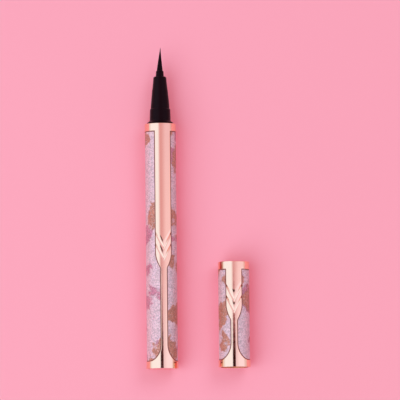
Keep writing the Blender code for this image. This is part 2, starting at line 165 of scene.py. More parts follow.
# Counts
STRIP_COLUMNS = 32
WINDOW_COLUMNS = 40
HALF_COLUMNS = STRIP_COLUMNS + WINDOW_COLUMNS
COLUMNS = 2 * HALF_COLUMNS
FOOT_ROWS = 24
STEM_ROWS = 12
LEAF_ROWS = 16
STRIP_ROW_SPACING = 0.0016
ROUND_STEPS = 4
LATHE_STEPS = 96
RIM_FIBRES = 60
INNER_FIBRES = 40
FIBRE_ROWS = 18
FIBRE_SIDES = 5
BRUSH_CORE_ROWS = 24
BRUSH_CORE_STEPS = 32

WELD = 1e-6
SHARP_ANGLE = math.radians(35.0)

# Colours of the object and the paper
GOLD_DEEP = (0.955, 0.60, 0.405, 1)
GOLD_PALE = (0.965, 0.62, 0.425, 1)
LILAC = (0.76, 0.515, 0.575, 1)
MAUVE = (0.59, 0.21, 0.295, 1)
COPPER = (0.55, 0.21, 0.148, 1)
FLECK_GLINT_WHITE = (0.95, 0.86, 0.92, 1)
# Painted shade round the film panels' edges, where the gaps beside them lie in shade
GAP_SHADE_BROWN = (0.27, 0.073, 0.048, 1)
SATIN_BLACK = (0.0045, 0.0008, 0.002)
BRISTLE_BLACK = (0.005, 0.001, 0.002)
INK_BLACK = (0.03, 0.03, 0.035)
TUBE_BROWN = (0.16, 0.04, 0.03)
LINER_WHITE = (0.80, 0.80, 0.78)
STOPPER_GREY = (0.66, 0.68, 0.69)
FILM_TINT = (0.86, 0.88, 0.9, 1)
WARM_SHEEN = (1.0, 0.62, 0.62, 1)
PAPER_DEEP = (0.556, 0.387, 0.49, 1)
PAPER_PALE = (0.576, 0.399, 0.502, 1)
# Painted light: a red glow of the paper, though it is no lamp, that keeps its shadows red
PAPER_PAINTED_GLOW = (1.0, 0.0, 0.02, 1)
PAPER_PAINTED_GLOW_STRENGTH = 0.425

# Textures: how many to a metre; a patch's reach, as a share of the spacing; offsets and relief, in
# metres
FLECKS = 2300.0
FINE_FLECKS = 4600.0
MAUVE_PATCHES = 78.0
MAUVE_REACH = 0.38
COPPER_PATCHES = 76.0
COPPER_REACH = 0.41
COPPER_ASIDE = (0.031, 0.017, 0.0043)
PEN_FILM_OFFSET = (0.004, 0.0, 0.0)
CAP_FILM_OFFSET = (0.0, 0.02, 0.05)
GOLD_DRIFT = 90.0
GOLD_RIPPLE = 700.0
FILM_WRINKLES = 400.0
PAPER_TOOTH = 900.0
PAPER_DRIFT = 9.0
RIPPLE_RELIEF = 0.0000015
GRAIN_RELIEF = 0.000004
SOFT_GRAIN_RELIEF = 0.000006
FIBRE_RELIEF = 0.00002
WRINKLE_RELIEF = 0.00003
TOOTH_RELIEF = 0.00003
FLECK_RELIEF = 0.00008

# What gloss shows of the studio: its colours, and the bands of direction over which they change
ROOM_GREY = (0.355, 0.355, 0.375, 1)
LEFT_CREAM = (1.03, 1.31, 1.72, 1)
MIDDLE_TAIL = (0.88, 0.8, 1.1, 1)
MIDDLE_HEAD = (0.80, 0.515, 0.68, 1)
RIGHT_TAIL = (1.06, 1.12, 1.55, 1)
RIGHT_MIDST = (1.0, 0.85, 1.14, 1)
RIGHT_HEAD = (0.925, 0.76, 1.06, 1)
FAR_TAIL_TINT = (0.87, 0.52, 0.48, 1)
LOW_TINT = (0.8, 0.66, 0.58, 1)
# Painted reflection of a dark line down the gold
STREAK_RED = (0.27, 0.008, 0.01, 1)
STREAK_BLACK = (0.02, 0.003, 0.003, 1)
TAIL_TO_MIDST = (0.055, 0.085)
MIDST_TO_HEAD = (0.085, 0.105)
MIDDLE_TO_RIGHT = (0.05, 0.7)
LEFT_TO_MIDDLE = (-0.36, -0.04)
FAR_TAIL = (-0.85, -0.35)
LOW = (0.0, 0.4)
STREAK_CENTRE = -0.02
STREAK_SIDES = (0.055, 0.14)
STREAK_START = (-0.02, 0.045)
STREAK_MAIN_END = (0.069, 0.0735)
STREAK_MAIN_SHARE = 0.7
STREAK_EXTRA_END = (0.0635, 0.069)
STREAK_EXTRA_SHARE = 0.29
BLACK_SIDES = (0.15, 0.22)
BLACK_START = (0.02, 0.047)
BLACK_END = (0.0605, 0.0645)

# Lamps, floor and camera
LEFT_LAMP = (-0.63, -0.40, 0.917)
LEFT_LAMP_SIZE = 1.15
LEFT_LAMP_POWER = 9.75
RIGHT_LAMP = (0.48, 0.52, 0.938)
RIGHT_LAMP_SIZE = 0.65
RIGHT_LAMP_POWER = 3.2
FLOOR_REACH = 3.0
CAMERA_TARGET = (0.00116, 0.00283, 0.006)
CAMERA_DISTANCE = 2.0
CAMERA_ELEVATION = math.radians(85.0)
CAMERA_ROLL = math.radians(-0.57)
CAMERA_LENS = 481.2
CAMERA_SENSOR = 36.0

Row = namedtuple("Row", "half_width height push drop depth")
Finish = namedtuple("Finish", "slot material")


# Node helpers


def feed(tree, socket, value):
    if isinstance(value, bpy.types.NodeSocket):
        tree.links.new(value, socket)
    else:
        socket.default_value = value


def add(tree, kind, inputs=None, **settings):
    """New node with its settings, and with its inputs set or wired by name."""
    made = tree.nodes.new(kind)
    for name, value in settings.items():
        setattr(made, name, value)
    for name, value in (inputs or {}).items():
        feed(tree, made.inputs[name], value)
    return made


def maths(tree, operation, *values):
    made = tree.nodes.new("ShaderNodeMath")
    made.operation = operation
    for socket, value in zip(made.inputs, values):
        feed(tree, socket, value)
    return made.outputs[0]


def vector_maths(tree, operation, *values):
    made = tree.nodes.new("ShaderNodeVectorMath")
    made.operation = operation
    for socket, value in zip(made.inputs, values):
        feed(tree, socket, value)
    return made.outputs["Value" if operation == "DOT_PRODUCT" else "Vector"]


def ease(tree, value, low, high, to_low=0.0, to_high=1.0):
    """Value eased from to_low to to_high as it passes from low to high."""
    made = add(
        tree, "ShaderNodeMapRange", interpolation_type="SMOOTHSTEP",
        inputs={"Value": value, "From Min": low, "From Max": high, "To Min": to_low, "To Max": to_high},
    )
    return made.outputs["Result"]


def blend_colours(tree, factor, first, second, blend_type="MIX"):
    made = tree.nodes.new("ShaderNodeMix")
    made.data_type = "RGBA"
    made.blend_type = blend_type
    for index, value in ((0, factor), (6, first), (7, second)):
        feed(tree, made.inputs[index], value)
    return made.outputs[2]


def noise(tree, vector, scale, detail=2.0, roughness=0.5):
    return add(
        tree, "ShaderNodeTexNoise",
        inputs={"Vector": vector, "Scale": scale, "Detail": detail, "Roughness": roughness},
    )


def scaled_vector(tree, vector, scale):
    made = vector_maths(tree, "SCALE", vector)
    feed(tree, made.node.inputs["Scale"], scale)
    return made


def new_group(name, inputs, outputs):
    """Empty effect group; inputs are (name, kind, default) and outputs (name, kind)."""
    tree = bpy.data.node_groups.new(name, "ShaderNodeTree")
    for socket_name, kind, default in inputs:
        socket = tree.interface.new_socket(socket_name, in_out="INPUT", socket_type=kind)
        if default is not None:
            socket.default_value = default
    for socket_name, kind in outputs:
        tree.interface.new_socket(socket_name, in_out="OUTPUT", socket_type=kind)
    return tree, tree.nodes.new("NodeGroupInput"), tree.nodes.new("NodeGroupOutput")


def place_group(tree, group, inputs):
    return add(tree, "ShaderNodeGroup", node_tree=group, inputs=inputs)


# Effects that several finishes share


def handling_marks_group():
    """Hairline scratches and soft smears left by fingers."""
    tree, given, result = new_group(
        "handling_marks",
        [("Vector", "NodeSocketVector", None), ("Scale", "NodeSocketFloat", 300.0)],
        [("Scratches", "NodeSocketFloat"), ("Smears", "NodeSocketFloat")],
    )
    vector = given.outputs["Vector"]
    scale = given.outputs["Scale"]
    stretched = add(
        tree, "ShaderNodeMapping",
        inputs={"Vector": vector, "Rotation": (0.5, 0.3, 0.4), "Scale": (9.0, 9.0, 0.5)},
    )
    lines = noise(tree, stretched.outputs["Vector"], scale, detail=3.0, roughness=0.65)
    scratches = ease(tree, lines.outputs["Fac"], 0.66, 0.74)
    smears = noise(tree, vector, maths(tree, "MULTIPLY", scale, 0.7))
    feed(tree, result.inputs["Scratches"], scratches)
    feed(tree, result.inputs["Smears"], ease(tree, smears.outputs["Fac"], 0.45, 0.75))
    return tree


def mould_grain_group():
    """Fine spark-eroded grain of moulded plastic, with a little drift in tone."""
    tree, given, result = new_group(
        "mould_grain",
        [("Vector", "NodeSocketVector", None), ("Scale", "NodeSocketFloat", 6000.0)],
        [("Height", "NodeSocketFloat"), ("Tone", "NodeSocketFloat")],
    )
    vector = given.outputs["Vector"]
    scale = given.outputs["Scale"]
    grain = noise(tree, vector, scale, roughness=0.6)
    drift = noise(tree, vector, maths(tree, "MULTIPLY", scale, 0.04))
    feed(tree, result.inputs["Height"], grain.outputs["Fac"])
    feed(tree, result.inputs["Tone"], ease(tree, drift.outputs["Fac"], 0.25, 0.75))
    return tree


def glitter_flecks_group():
    """Packed flecks, each with its own tone and its own tilt, and a few picked as if catching the light,
    which finishes make metallic or paint near white as glints.
    """
    tree, given, result = new_group(
        "glitter_flecks",
        [("Vector", "NodeSocketVector", None), ("Scale", "NodeSocketFloat", 3000.0)],
        [("Tone", "NodeSocketFloat"), ("Sparkle", "NodeSocketFloat"), ("Height", "NodeSocketFloat")],
    )
    scaled = scaled_vector(tree, given.outputs["Vector"], given.outputs["Scale"])
    cells = add(tree, "ShaderNodeTexVoronoi", feature="F1", inputs={"Vector": scaled, "Scale": 1.0})
    parts = add(tree, "ShaderNodeSeparateColor", inputs={"Color": cells.outputs["Color"]})
    tilt = vector_maths(tree, "SUBTRACT", cells.outputs["Color"], (0.5, 0.5, 0.5))
    away = vector_maths(tree, "SUBTRACT", scaled, cells.outputs["Position"])
    feed(tree, result.inputs["Tone"], parts.outputs["Red"])
    feed(tree, result.inputs["Sparkle"], ease(tree, parts.outputs["Green"], 0.86, 0.94))
    feed(tree, result.inputs["Height"], vector_maths(tree, "DOT_PRODUCT", away, tilt))
    return tree


def patch_group():
    """Ragged blotches a few millimetres across."""
    tree, given, result = new_group(
        "ragged_patches",
        [
            ("Vector", "NodeSocketVector", None),
            ("Scale", "NodeSocketFloat", 100.0),
            ("Reach", "NodeSocketFloat", 0.4),
        ],
        [("Mask", "NodeSocketFloat")],
    )
    vector = given.outputs["Vector"]
    scale = given.outputs["Scale"]
    bend = noise(tree, vector, maths(tree, "MULTIPLY", scale, 2.2), detail=3.0, roughness=0.55)
    aside = vector_maths(tree, "SUBTRACT", bend.outputs["Color"], (0.5, 0.5, 0.5))
    bent = vector_maths(tree, "ADD", vector, scaled_vector(tree, aside, maths(tree, "DIVIDE", 1.1, scale)))
    spots = add(tree, "ShaderNodeTexVoronoi", feature="F1", inputs={"Vector": bent, "Scale": scale})
    outside = maths(tree, "ADD", given.outputs["Reach"], 0.04)
    inside = maths(tree, "SUBTRACT", given.outputs["Reach"], 0.04)
    feed(tree, result.inputs["Mask"], ease(tree, spots.outputs["Distance"], outside, inside))
    return tree


def fibre_lines_group():
    """Fine lines that run along a bundle of fibres."""
    tree, given, result = new_group(
        "fibre_lines",
        [("Vector", "NodeSocketVector", None), ("Scale", "NodeSocketFloat", 9000.0)],
        [("Height", "NodeSocketFloat"), ("Tone", "NodeSocketFloat")],
    )
    stretched = add(
        tree, "ShaderNodeMapping", inputs={"Vector": given.outputs["Vector"], "Scale": (1.0, 0.03, 1.0)}
    )
    lines = noise(tree, stretched.outputs["Vector"], given.outputs["Scale"])
    feed(tree, result.inputs["Height"], lines.outputs["Fac"])
    feed(tree, result.inputs["Tone"], ease(tree, lines.outputs["Fac"], 0.3, 0.7))
    return tree


# Finishes


def new_finish(name):
    """Material with an empty Principled shader, and the object's own coordinates."""
    material = bpy.data.materials.new(name)
    material.use_nodes = True
    tree = material.node_tree
    shader = tree.nodes["Principled BSDF"]
    place = tree.nodes.new("ShaderNodeTexCoord").outputs["Object"]
    return material, tree, shader, place


def set_bump(tree, shader, height, relief):
    bump = add(tree, "ShaderNodeBump", inputs={"Height": height, "Distance": relief, "Strength": 1.0})
    feed(tree, shader.inputs["Normal"], bump.outputs["Normal"])


def rose_gold(effects):
    """Metallised, lacquered shell: mirror bright, with a faint ripple in the lacquer."""
    material, tree, shader, place = new_finish("rose_gold_mirror")
    marks = place_group(tree, effects["handling_marks"], {"Vector": place, "Scale": 320.0})
    tone = noise(tree, place, GOLD_DRIFT).outputs["Fac"]
    feed(tree, shader.inputs["Base Color"], blend_colours(tree, tone, GOLD_DEEP, GOLD_PALE))
    worn = maths(tree, "MULTIPLY_ADD", marks.outputs["Scratches"], 0.04, 0.04)
    feed(tree, shader.inputs["Roughness"], maths(tree, "MULTIPLY_ADD", marks.outputs["Smears"], 0.015, worn))
    shader.inputs["Metallic"].default_value = 1.0
    ripple = noise(tree, place, GOLD_RIPPLE, detail=1.0, roughness=0.4).outputs["Fac"]
    set_bump(tree, shader, ripple, RIPPLE_RELIEF)
    return material


def glitter(effects, name, offset):
    """Lilac glitter film with mauve and copper patches under a clear coat, and painted shade in a band round
    its edge.
    """
    material, tree, shader, place = new_finish(name)
    moved = vector_maths(tree, "ADD", place, offset)
    flecks = place_group(tree, effects["glitter_flecks"], {"Vector": place, "Scale": FLECKS})
    fine = place_group(tree, effects["glitter_flecks"], {"Vector": moved, "Scale": FINE_FLECKS})
    patches = effects["ragged_patches"]
    mauve = place_group(tree, patches, {"Vector": moved, "Scale": MAUVE_PATCHES, "Reach": MAUVE_REACH})
    elsewhere = vector_maths(tree, "ADD", moved, COPPER_ASIDE)
    copper = place_group(
        tree, patches, {"Vector": elsewhere, "Scale": COPPER_PATCHES, "Reach": COPPER_REACH}
    )
    colour = blend_colours(tree, mauve.outputs["Mask"], LILAC, MAUVE)
    colour = blend_colours(tree, copper.outputs["Mask"], colour, COPPER)
    fine_tone = maths(tree, "MULTIPLY", fine.outputs["Tone"], 0.4)
    tone = maths(tree, "MULTIPLY_ADD", flecks.outputs["Tone"], 0.6, fine_tone)
    colour = scaled_vector(tree, colour, ease(tree, tone, 0.1, 0.9, 0.74, 1.24))
    # Painted glint: a few fine flecks are made near white, as if they caught the light
    bright = maths(tree, "MULTIPLY", fine.outputs["Sparkle"], 0.4)
    colour = blend_colours(tree, bright, colour, FLECK_GLINT_WHITE)
    # Painted shade: brown in a band round the film's edge, where the gap beside it lies in shade
    edge = add(tree, "ShaderNodeAttribute", attribute_name="gap_shade")
    colour = blend_colours(tree, ease(tree, edge.outputs["Fac"], 0.35, 0.5), colour, GAP_SHADE_BROWN)
    feed(tree, shader.inputs["Base Color"], colour)
    feed(tree, shader.inputs["Roughness"], ease(tree, fine.outputs["Tone"], 0.0, 1.0, 0.32, 0.55))
    feed(tree, shader.inputs["Metallic"], ease(tree, flecks.outputs["Sparkle"], 0.0, 1.0, 0.12, 0.65))
    fine_height = maths(tree, "MULTIPLY", fine.outputs["Height"], 0.5)
    height = maths(tree, "ADD", flecks.outputs["Height"], fine_height)
    set_bump(tree, shader, height, FLECK_RELIEF)
    shader.inputs["Coat Weight"].default_value = 0.12
    shader.inputs["Coat Roughness"].default_value = 0.12
    return material


def moulded(effects, name, colour, roughness, grain=6000.0, relief=GRAIN_RELIEF):
    """Moulded plastic with a fine grain and slight drift in tone."""
    material, tree, shader, place = new_finish(name)
    surface = place_group(tree, effects["mould_grain"], {"Vector": place, "Scale": grain})
    marks = place_group(tree, effects["handling_marks"], {"Vector": place, "Scale": 260.0})
    darker = tuple(part * 0.86 for part in colour) + (1,)
    lighter = tuple(min(1.0, part * 1.1) for part in colour) + (1,)
    feed(tree, shader.inputs["Base Color"], blend_colours(tree, surface.outputs["Tone"], darker, lighter))
    rubbed = maths(tree, "MULTIPLY_ADD", marks.outputs["Smears"], -0.06, roughness)
    scratched = maths(tree, "MULTIPLY_ADD", marks.outputs["Scratches"], 0.05, rubbed)
    feed(tree, shader.inputs["Roughness"], scratched)
    set_bump(tree, shader, surface.outputs["Height"], relief)
    return material, shader


def black_plastic(effects):
    """Satin black of the front, with a warm sheen."""
    material, shader = moulded(effects, "satin_black", SATIN_BLACK, roughness=0.32)
    shader.inputs["Specular IOR Level"].default_value = 0.105
    shader.inputs["Specular Tint"].default_value = WARM_SHEEN
    return material


def fibrous(effects, name, colour, roughness, scale):
    """Bundle of fine fibres: lines along it in tone, roughness and relief."""
    material, tree, shader, place = new_finish(name)
    lines = place_group(tree, effects["fibre_lines"], {"Vector": place, "Scale": scale})
    darker = tuple(part * 0.6 for part in colour) + (1,)
    lighter = tuple(part * 1.3 for part in colour) + (1,)
    feed(tree, shader.inputs["Base Color"], blend_colours(tree, lines.outputs["Tone"], darker, lighter))
    matt = ease(tree, lines.outputs["Tone"], 0.0, 1.0, roughness - 0.08, roughness + 0.08)
    feed(tree, shader.inputs["Roughness"], matt)
    set_bump(tree, shader, lines.outputs["Height"], FIBRE_RELIEF)
    shader.inputs["Specular IOR Level"].default_value = 0.12
    shader.inputs["Specular Tint"].default_value = WARM_SHEEN
    return material


def clear_film(effects):
    """Thin clear wrap with soft wrinkles."""
    material, tree, shader, place = new_finish("clear_film")
    marks = place_group(tree, effects["handling_marks"], {"Vector": place, "Scale": 200.0})
    feed(tree, shader.inputs["Roughness"], maths(tree, "MULTIPLY_ADD", marks.outputs["Smears"], 0.12, 0.12))
    shader.inputs["Base Color"].default_value = FILM_TINT
    shader.inputs["Transmission Weight"].default_value = 0.85
    wrinkles = noise(tree, place, FILM_WRINKLES, detail=3.0).outputs["Fac"]
    set_bump(tree, shader, wrinkles, WRINKLE_RELIEF)
    return material


def pink_paper():
    """Plain seamless paper with a faint tooth, which glows red though it is no lamp: painted light that
    keeps its shadows red.
    """
    material, tree, shader, place = new_finish("pink_paper")
    tooth = noise(tree, place, PAPER_TOOTH, detail=3.0, roughness=0.6).outputs["Fac"]
    drift = noise(tree, place, PAPER_DRIFT).outputs["Fac"]
    feed(tree, shader.inputs["Base Color"], blend_colours(tree, drift, PAPER_DEEP, PAPER_PALE))
    # Painted light: the paper glows red, so that its shadows stay red
    shader.inputs["Emission Color"].default_value = PAPER_PAINTED_GLOW
    shader.inputs["Emission Strength"].default_value = PAPER_PAINTED_GLOW_STRENGTH
    shader.inputs["Roughness"].default_value = 0.55
    shader.inputs["Specular IOR Level"].default_value = 0.4
    set_bump(tree, shader, tooth, TOOTH_RELIEF)
    return material


# Mesh helpers


def new_piece(name, points, faces, finish, body, laid, stands_for, gap_shade=None):
    """Smooth-shaded piece from upright points and faces, laid down and riding on its body.

    Gap shade holds a value for each point that says how near the point is to the band of painted shade round
    a film panel's edge.
    """
    mesh = bpy.data.meshes.new(name)
    mesh.from_pydata([laid @ Vector(point) for point in points], [], faces)
    if gap_shade:
        mesh.attributes.new("gap_shade", "FLOAT", "POINT").data.foreach_set("value", gap_shade)
    tidy = bmesh.new()
    tidy.from_mesh(mesh)
    bmesh.ops.remove_doubles(tidy, verts=tidy.verts, dist=WELD)
    loose = [vertex for vertex in tidy.verts if not vertex.link_faces]
    bmesh.ops.delete(tidy, geom=loose, context="VERTS")
    bmesh.ops.recalc_face_normals(tidy, faces=tidy.faces)
    tidy.to_mesh(mesh)
    tidy.free()
    mesh.shade_smooth()
    mesh.set_sharp_from_angle(angle=SHARP_ANGLE)
    mesh.materials.append(finish.material)
    piece = bpy.data.objects.new(name, mesh)
    bpy.context.scene.collection.objects.link(piece)
    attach(piece, body)
    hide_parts(stands_for)
    return piece


def soften(corners):
    """Outline of (radius, height) points from (radius, height, rounding) corners.

    Where there is room, a point beside each rounding keeps the shading of the flat next to it level.
    """
    outline = []
    last = len(corners) - 1
    for index, (radius, height, rounding) in enumerate(corners):
        corner = Vector((radius, height))
        if rounding == 0 or index in (0, last):
            outline.append((radius, height))
            continue
        before = Vector(corners[index - 1][:2]) - corner
        after = Vector(corners[index + 1][:2]) - corner
        held_before = before.length > EDGE_HOLD_ROOM * (rounding + corners[index - 1][2])
        held_after = after.length > EDGE_HOLD_ROOM * (rounding + corners[index + 1][2])
        before = before.normalized() * rounding
        after = after.normalized() * rounding
        if held_before:
            outline.append(tuple(corner + before * EDGE_HOLD))
        for step in range(ROUND_STEPS + 1):
            share = step / ROUND_STEPS
            outline.append(tuple(corner + before * (1 - share) ** 2 + after * share**2))
        if held_after:
            outline.append(tuple(corner + after * EDGE_HOLD))
    return outline


def turned(name, corners, finish, body, laid, stands_for):
    """Piece turned from rounded corners, shut where the outline meets the axis and else a ring."""
    outline = soften(corners)
    closed = outline[0][0] > 0
    points = []
    for radius, height in outline:
        for step in range(LATHE_STEPS):
            angle = 2 * math.pi * step / LATHE_STEPS
            points.append((radius * math.sin(angle), -radius * math.cos(angle), height))
    faces = []
    for row in range(len(outline) if closed else len(outline) - 1):
        upper = row * LATHE_STEPS
        lower = (row + 1) % len(outline) * LATHE_STEPS
        for step in range(LATHE_STEPS):
            after = (step + 1) % LATHE_STEPS
            faces.append((upper + step, upper + after, lower + after, lower + step))
    return new_piece(name, points, faces, finish, body, laid, stands_for)


# Pierced shells and the film in their windows


def soft_step(value, low, high):
    share = min(max((value - low) / (high - low), 0.0), 1.0)
    return share * share * (3 - 2 * share)


def shell_radius(height, aside):
    """Radius of a shell's outside, which swells into the end ring except under the front motif.

    Aside is the angle from that motif's middle.
    """
    low = soft_step(height, RING_BLEND_TOP, RING_BLEND_FOOT)
    clear = soft_step(aside, RING_BLEND_INNER, RING_BLEND_OUTER)
    return BARREL_RADIUS + (RING_RADIUS - BARREL_RADIUS) * low * clear


def motif_rows(window_top, strip_length):
    """Rows of the pierced zone from the sill up to the windows' top edge.

    Push is how a window's edge moves in width and height as it is moved into the window; drop is how
    far a row dips at the middle of the motif, so that the rows run along the chevrons.
    """
    foot_top = RING_HEIGHT + WINDOW_SILL + FOOT_HEIGHT
    strip_end = window_top - strip_length
    leaf_foot = strip_end - LEAF_BELOW_CHEVRONS - LEAF_LENGTH
    feather_foot = strip_end - CHEVRON_PITCH * (CHEVRON_COUNT - 1) - GROOVE_END_WIDTH
    feather_drop = CHEVRON_DROP + GROOVE_POINT_WIDTH - GROOVE_END_WIDTH
    level_below = leaf_foot - LEAF_LENGTH / 2

    def drop_at(height):
        return feather_drop * max(0.0, (height - level_below) / (feather_foot - level_below))

    rows = []
    for step in range(FOOT_ROWS):
        turn = math.pi / 2 * (1 - step / FOOT_ROWS)
        width = STEM_HALF_WIDTH + FOOT_REACH * (1 - math.cos(turn))
        height = foot_top - FOOT_HEIGHT * math.sin(turn)
        rows.append(Row(width, height, (math.cos(turn), math.sin(turn)), 0.0, 0.0))
    for step in range(STEM_ROWS):
        height = foot_top + (leaf_foot - foot_top) * step / STEM_ROWS
        rows.append(Row(STEM_HALF_WIDTH, height, (1, 0), drop_at(height), 0.0))
    for step in range(LEAF_ROWS + 1):
        share = step / LEAF_ROWS
        bulge = 1 - (1 - share) ** LEAF_BULGE
        width = STEM_HALF_WIDTH + (STRIP_HALF_WIDTH - STEM_HALF_WIDTH) * bulge
        height = leaf_foot + LEAF_LENGTH * share
        rows.append(Row(width, height, (1, 0), drop_at(height), 0.0))
    for number in reversed(range(CHEVRON_COUNT)):
        for across, deep in reversed(GROOVE_SECTION):
            height = strip_end - CHEVRON_PITCH * number - GROOVE_END_WIDTH * across
            drop = CHEVRON_DROP + (GROOVE_POINT_WIDTH - GROOVE_END_WIDTH) * across
            rows.append(Row(STRIP_HALF_WIDTH, height, (1, 0), drop, GROOVE_DEPTH * deep))
    count = math.ceil(strip_length / STRIP_ROW_SPACING)
    for step in range(1, count):
        share = step / count
        height = strip_end + strip_length * share
        rows.append(Row(STRIP_HALF_WIDTH, height, (1, 0), CHEVRON_DROP * (1 - share), 0.0))
    rows.append(Row(STRIP_HALF_WIDTH, window_top, (1, -1), 0.0, 0.0))
    return rows


def row_points(row, inset, radius_at):
    """Points of one row all round: front motif, right window, back motif, left window."""
    start = (row.half_width + inset * row.push[0]) / BARREL_RADIUS
    edge = row.height + inset * row.push[1]
    points = []
    for column in range(COLUMNS):
        back, place = divmod(column, HALF_COLUMNS)
        height = edge
        if place <= STRIP_COLUMNS:
            side = 2 * place / STRIP_COLUMNS - 1
            angle = start * side
            height -= row.drop * (1 - abs(side))
        else:
            angle = start + (math.pi - 2 * start) * (place - STRIP_COLUMNS) / WINDOW_COLUMNS
        angle += math.pi * back
        aside = min(abs(angle), 2 * math.pi - angle)
        radius = radius_at(height, row.depth, aside)
        points.append((radius * math.sin(angle), -radius * math.cos(angle), height))
    return points


def level_row(radius, height, like):
    """Points of a ring, no wider than the shell, whose columns line up with those of a motif row."""
    level = Row(like.half_width, height, (0, 0), 0.0, 0.0)
    return row_points(level, 0.0, lambda high, _, aside: min(radius, shell_radius(high, aside)))


def window_path(row_count, back):
    """(row, column) places round the edge of one window."""
    left = STRIP_COLUMNS + back * HALF_COLUMNS
    right = HALF_COLUMNS + back * HALF_COLUMNS
    last = row_count - 1
    up = [(row, left) for row in range(row_count)]
    over = [(last, column) for column in range(left + 1, right + 1)]
    down = [(row, right) for row in range(last - 1, -1, -1)]
    along = [(0, column) for column in range(right - 1, left, -1)]
    return [(row, column % COLUMNS) for row, column in up + over + down + along]


def add_loft(points, faces, loops):
    """Faces between loops of the same number of points; the points are added too."""
    count = len(loops[0])
    start = len(points)
    for loop in loops:
        points.extend(loop)
    for level in range(len(loops) - 1):
        for place in range(count):
            after = (place + 1) % count
            near = start + level * count
            faces.append((near + place, near + after, near + count + after, near + count + place))


def rounded_stages(rounding):
    """(inset, sink) pairs that turn an edge over by a quarter circle."""
    stages = []
    for step in range(ROUND_STEPS + 1):
        turn = math.pi / 2 * step / ROUND_STEPS
        stages.append((-rounding * (1 - math.sin(turn)), rounding * (1 - math.cos(turn))))
    return stages


def shell_points(rows, inset, sink):
    def radius_at(height, deep, aside):
        return shell_radius(height, aside) - deep - sink

    return [row_points(row, inset, radius_at) for row in rows]


def fixed_points(rows, inset, radius):
    return [row_points(row, inset, lambda *_: radius) for row in rows]


def pierced_shell(name, top, strip_length, end_corners, finish, body, laid, stands_for):
    """Thin shell with two windows and the motif between them.

    End corners are the outline of the closed or open end, from the outer edge inwards.
    """
    rows = motif_rows(top - COLLAR_HEIGHT, strip_length)
    sill, head = rows[0], rows[-1]
    outer = shell_points(rows, -EDGE_ROUND, 0.0)
    inner = fixed_points(rows, 0.0, SHELL_BORE)

    rim = soften([
        (RING_RADIUS, RING_HEIGHT / 2, 0.0),
        (RING_RADIUS, 0.0, RIM_ROUND),
        (SHELL_BORE, 0.0, RIM_ROUND / 2),
        (SHELL_BORE, RING_HEIGHT, 0.0),
    ])
    end = soften(end_corners)
    chain = [(level_row(radius, height, head), False) for radius, height in reversed(end)]
    chain += [(points, True) for points in reversed(outer)]
    chain += [(level_row(RING_RADIUS, height, sill), False) for height in LEVEL_ROWS]
    chain += [(level_row(radius, height, sill), False) for radius, height in rim]
    chain += [(points, True) for points in inner]
    closes = end[-1][0] > 0

    points = [point for ring, _ in chain for point in ring]
    faces = []
    for number in range(len(chain) if closes else len(chain) - 1):
        after = (number + 1) % len(chain)
        pierced = chain[number][1] and chain[after][1]
        for column in range(COLUMNS):
            if pierced and column % HALF_COLUMNS >= STRIP_COLUMNS:
                continue
            beside = (column + 1) % COLUMNS
            near, far = number * COLUMNS, after * COLUMNS
            faces.append((near + column, near + beside, far + beside, far + column))

    stages = [shell_points(rows, inset, sink) for inset, sink in rounded_stages(EDGE_ROUND)] + [inner]
    for back in range(2):
        path = window_path(len(rows), back)
        add_loft(points, faces, [[stage[row][column] for row, column in path] for stage in stages])
    return new_piece(name, points, faces, finish, body, laid, stands_for)


def film_panel(name, top, strip_length, back, finish, body, laid, stands_for):
    """Curved panel of glitter film that fills one window but for a narrow gap, with painted shade in a band
    round its edge, where the gap lies in shade.
    """
    rows = motif_rows(top - COLLAR_HEIGHT, strip_length)
    surface = BARREL_RADIUS - PANEL_SINK
    path = window_path(len(rows), back)
    first = STRIP_COLUMNS + back * HALF_COLUMNS
    face = fixed_points(rows, PANEL_GAP + PANEL_SHADE_BAND, surface)
    rear = fixed_points(rows, PANEL_GAP, SHELL_BORE)
    points = []
    faces = []
    for sheet in (face, rear):
        start = len(points)
        for ring in sheet:
            points.extend(ring[(first + step) % COLUMNS] for step in range(WINDOW_COLUMNS + 1))
        width = WINDOW_COLUMNS + 1
        for row in range(len(rows) - 1):
            for step in range(WINDOW_COLUMNS):
                near = start + row * width + step
                faces.append((near, near + 1, near + width + 1, near + width))
    inside = len(points)
    loops = [face]
    for inset, sink in rounded_stages(PANEL_ROUND):
        loops.append(fixed_points(rows, PANEL_GAP - inset, surface - sink))
    add_loft(points, faces, [[loop[row][column] for row, column in path] for loop in loops + [rear]])
    # The loft's points beyond the face's own edge bear the painted shade
    gap_shade = [0.0] * (inside + len(path)) + [1.0] * (len(points) - inside - len(path))
    return new_piece(name, points, faces, finish, body, laid, stands_for, gap_shade)


# Brush


def brush_radius(along):
    places = [share[0] for share in BRUSH_SHARES]
    widths = [share[1] for share in BRUSH_SHARES]
    return BRUSH_RADIUS * float(np.interp(along, places, widths))


def brush_centre(along):
    """Sideways place of the bundle's middle: the soft point leans a little."""
    return BRUSH_LEAN * along**LEAN_POWER


def add_fibre(points, faces, turn, reach, length, thick, sway):
    """One tapering fibre of the brush, from its foot to its tip."""
    start = len(points)
    for step in range(FIBRE_ROWS + 1):
        along = step / FIBRE_ROWS
        spread = max(brush_radius(along * length) - thick * (1 - along), 0.0) * reach
        angle = turn + sway * math.sin(math.pi * along)
        radius = thick * (1 - FIBRE_TAPER * along)
        across = brush_centre(along * length) + spread * math.sin(angle)
        depth = -spread * math.cos(angle)
        height = BRUSH_FOOT + BRUSH_LENGTH * along * length
        for side in range(FIBRE_SIDES):
            around = 2 * math.pi * side / FIBRE_SIDES + angle
            points.append((across + radius * math.sin(around), depth - radius * math.cos(around), height))
    for step in range(FIBRE_ROWS):
        for side in range(FIBRE_SIDES):
            after = (side + 1) % FIBRE_SIDES
            near = start + step * FIBRE_SIDES
            faces.append((near + side, near + after, near + FIBRE_SIDES + after, near + FIBRE_SIDES + side))
    top = start + FIBRE_ROWS * FIBRE_SIDES
    faces.append(tuple(range(start, start + FIBRE_SIDES)))
    faces.append(tuple(range(top, top + FIBRE_SIDES)))


